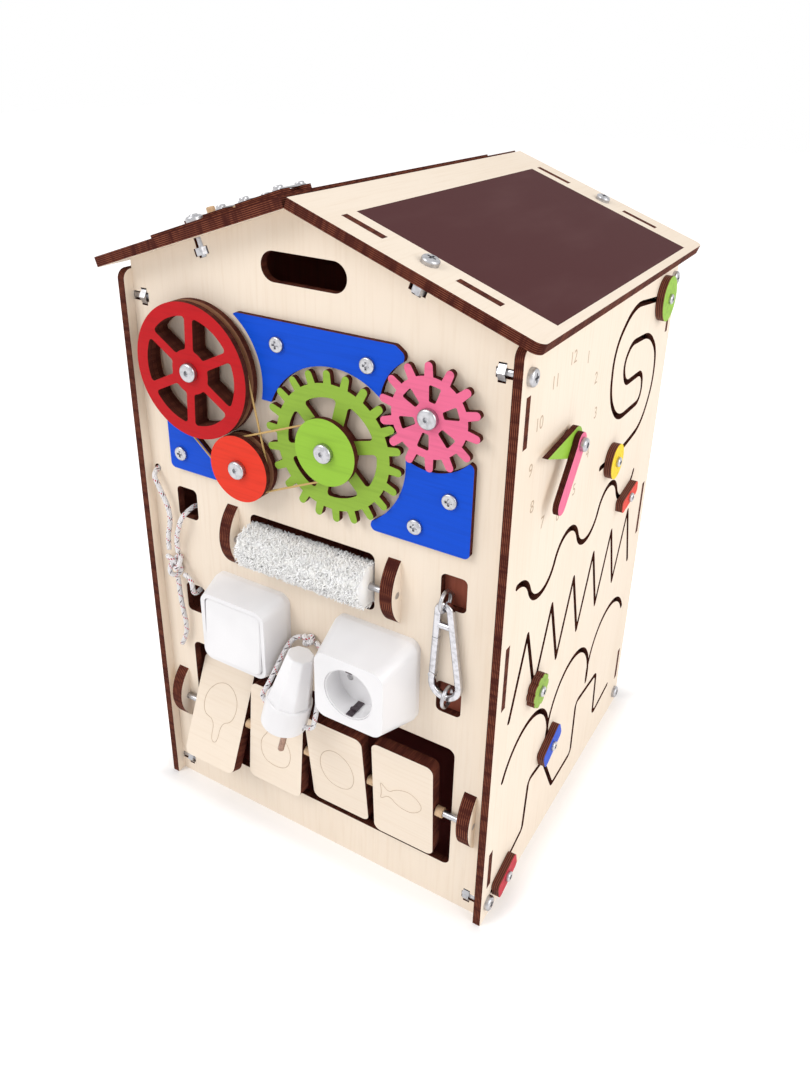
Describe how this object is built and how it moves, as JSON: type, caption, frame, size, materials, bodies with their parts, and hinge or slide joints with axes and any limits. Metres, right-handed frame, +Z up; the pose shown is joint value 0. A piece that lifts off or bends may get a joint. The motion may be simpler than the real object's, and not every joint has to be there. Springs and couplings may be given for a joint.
{
  "type": "activity house",
  "caption": "Plywood play house with coupled gears and pulleys, a roller, flip cards, a switch, a socket with plug, laces, a snap hook, a clock and sliders in tracks.",
  "frame": {"origin": "under the middle of the overall box, on the floor", "axes": "+X to the right seen from the front, the front faces -Y, +Z up"},
  "size_m": [0.3397, 0.3566, 0.5219],
  "materials": {
    "birch_ply": "bare birch plywood with burnt edges",
    "chalkboard": "matt chalkboard paint",
    "red_paint": "satin red paint on plywood",
    "orange_paint": "satin orange-red paint on plywood",
    "blue_paint": "satin blue paint on plywood",
    "green_paint": "satin green paint on plywood",
    "light_green_paint": "satin light green paint on plywood",
    "pink_paint": "satin pink paint on plywood",
    "yellow_paint": "satin yellow paint on plywood",
    "crimson_paint": "satin crimson paint on plywood",
    "zinc": "zinc plated",
    "nickel": "polished nickel plate",
    "white_plastic": "gloss white",
    "band_rubber": "elastic cord",
    "white_lace": "woven white lace with red and black flecks",
    "fleece": "white pile sleeve",
    "turned_wood": "turned wood, sanded"
  },
  "bodies": {
    "house": {"front_wall": "birch_ply", "back_wall": "birch_ply", "left_wall": "birch_ply", "right_wall": "birch_ply", "roof_deck_right": "birch_ply", "roof_frame_right": "birch_ply", "chalkboard": "chalkboard", "roof_deck_left": "birch_ply", "roof_cover_left": "birch_ply", "latch_board": "birch_ply", "latch_plates": "zinc", "frame_fasteners": "zinc", "panel_screws": "zinc", "plate_top": "blue_paint", "plate_left": "blue_paint", "plate_right": "blue_paint", "axle_bolts": "zinc", "axle_spacers": "birch_ply", "elastic_bands": "band_rubber", "moon_brackets": "birch_ply", "rods": "zinc", "card_spacers": "turned_wood", "switch_base": "white_plastic", "socket_base": "white_plastic", "socket_insert": "white_plastic", "earth_clips": "zinc", "plug_body": "white_plastic", "plug_pins": "nickel", "plug_cord": "white_lace", "plug_knot": "white_lace", "lace_upper": "white_lace", "lace_loop": "white_lace", "lace_tail": "white_lace", "lace_knots": "white_lace", "screw_eyes": "zinc", "eye_backing": "birch_ply"},
    "drive_wheel": {"drive_wheel_cheeks": "red_paint", "drive_wheel_core": "birch_ply"},
    "idler": {"idler_cheeks": "orange_paint", "idler_core": "birch_ply"},
    "large_gear": {"large_gear": "green_paint", "large_gear_pulley": "light_green_paint"},
    "small_gear": {"small_gear": "pink_paint"},
    "roller": {"roller": "fleece"},
    "card_1": {"flip_card_1": "birch_ply"},
    "card_2": {"flip_card_2": "birch_ply"},
    "card_3": {"flip_card_3": "birch_ply"},
    "card_4": {"flip_card_4": "birch_ply"},
    "switch_rocker": {"switch_rocker": "white_plastic"},
    "latch_bolt": {"latch_bolt": "turned_wood"},
    "snap_hook": {"snap_hook": "nickel"},
    "snap_gate": {"snap_gate": "nickel"},
    "hour_hand": {"hour_hand": "light_green_paint"},
    "minute_hand": {"minute_hand": "pink_paint"},
    "slider_green": {"slider_green": "light_green_paint"},
    "slider_yellow": {"slider_yellow": "yellow_paint"},
    "slider_bar": {"slider_bar": "orange_paint"},
    "slider_flower": {"slider_flower": "green_paint"},
    "slider_blue": {"slider_blue": "blue_paint"},
    "slider_crimson": {"slider_crimson": "crimson_paint"}
  },
  "joints": [
    {"name": "drive_spin", "type": "hinge", "parent": "house", "child": "drive_wheel", "pos_m": [-0.087, -0.1444, 0.3958], "axis": [0, -1, 0], "continuous": true},
    {"name": "idler_spin", "type": "hinge", "parent": "house", "child": "idler", "pos_m": [-0.0492, -0.1444, 0.3322], "axis": [0, -1, 0], "continuous": true},
    {"name": "large_gear_spin", "type": "hinge", "parent": "house", "child": "large_gear", "pos_m": [0.0245, -0.1444, 0.3635], "axis": [0, -1, 0], "continuous": true},
    {"name": "small_gear_spin", "type": "hinge", "parent": "house", "child": "small_gear", "pos_m": [0.09609, -0.1444, 0.4014], "axis": [0, -1, 0], "continuous": true},
    {"name": "roller_spin", "type": "hinge", "parent": "house", "child": "roller", "pos_m": [0, -0.1399, 0.2665], "axis": [1, 0, 0], "continuous": true},
    {"name": "card_1_flip", "type": "hinge", "parent": "house", "child": "card_1", "pos_m": [-0.09365, -0.1383, 0.0907], "axis": [1, 0, 0], "continuous": true},
    {"name": "card_2_flip", "type": "hinge", "parent": "house", "child": "card_2", "pos_m": [-0.03415, -0.1383, 0.0907], "axis": [1, 0, 0], "range_deg": [-122, 18]},
    {"name": "card_3_flip", "type": "hinge", "parent": "house", "child": "card_3", "pos_m": [0.02535, -0.1383, 0.0907], "axis": [1, 0, 0], "continuous": true},
    {"name": "card_4_flip", "type": "hinge", "parent": "house", "child": "card_4", "pos_m": [0.08485, -0.1383, 0.0907], "axis": [1, 0, 0], "continuous": true},
    {"name": "switch_rock", "type": "hinge", "parent": "house", "child": "switch_rocker", "pos_m": [-0.055, -0.1582, 0.196], "axis": [1, 0, 0], "range_deg": [0, 8]},
    {"name": "latch_slide", "type": "slide", "parent": "house", "child": "latch_bolt", "axis": [0.9429, 0, 0.333], "range_m": [0, 0.013]},
    {"name": "hook_swing", "type": "hinge", "parent": "house", "child": "snap_hook", "pos_m": [0.1115, -0.1397, 0.2722], "axis": [1, 0, 0], "range_deg": [-2, 1.2]},
    {"name": "gate_open", "type": "hinge", "parent": "snap_hook", "child": "snap_gate", "pos_m": [0.10434, -0.1397, 0.214], "axis": [0, 1, 0], "range_deg": [0, 14], "stiffness_Nm_per_rad": 0.02},
    {"name": "hour_hand_turn", "type": "hinge", "parent": "house", "child": "hour_hand", "pos_m": [0.1583, -0.0641, 0.373], "axis": [1, 0, 0], "continuous": true},
    {"name": "minute_hand_turn", "type": "hinge", "parent": "house", "child": "minute_hand", "pos_m": [0.1583, -0.0641, 0.373], "axis": [1, 0, 0], "continuous": true},
    {"name": "green_slide", "type": "slide", "parent": "house", "child": "slider_green", "axis": [0, -0.991, 0.1342], "range_m": [-0.003, 0.054]},
    {"name": "yellow_slide", "type": "slide", "parent": "house", "child": "slider_yellow", "axis": [0, -0.9982, 0.0599], "range_m": [-0.013, 0.022]},
    {"name": "bar_swing", "type": "hinge", "parent": "house", "child": "slider_bar", "pos_m": [0.155, 0.0919, 0.2889], "axis": [1, 0, 0], "range_deg": [-55, 55]},
    {"name": "flower_slide", "type": "slide", "parent": "house", "child": "slider_flower", "axis": [0, 0.3345, 0.9424], "range_m": [0, 0.06]},
    {"name": "blue_swing", "type": "hinge", "parent": "house", "child": "slider_blue", "pos_m": [0.155, 0.0079, 0.10525], "axis": [-1, 0, 0], "range_deg": [0, 200]},
    {"name": "crimson_slide", "type": "slide", "parent": "house", "child": "slider_crimson", "axis": [0, 0.9622, 0.2723], "range_m": [0, 0.033]}
  ],
  "couplings": [
    {"joint": "idler_spin", "follows": "drive_spin", "ratio": 2.1594},
    {"joint": "large_gear_spin", "follows": "drive_spin", "ratio": 2.3281},
    {"joint": "small_gear_spin", "follows": "drive_spin", "ratio": -3.6585}
  ]
}
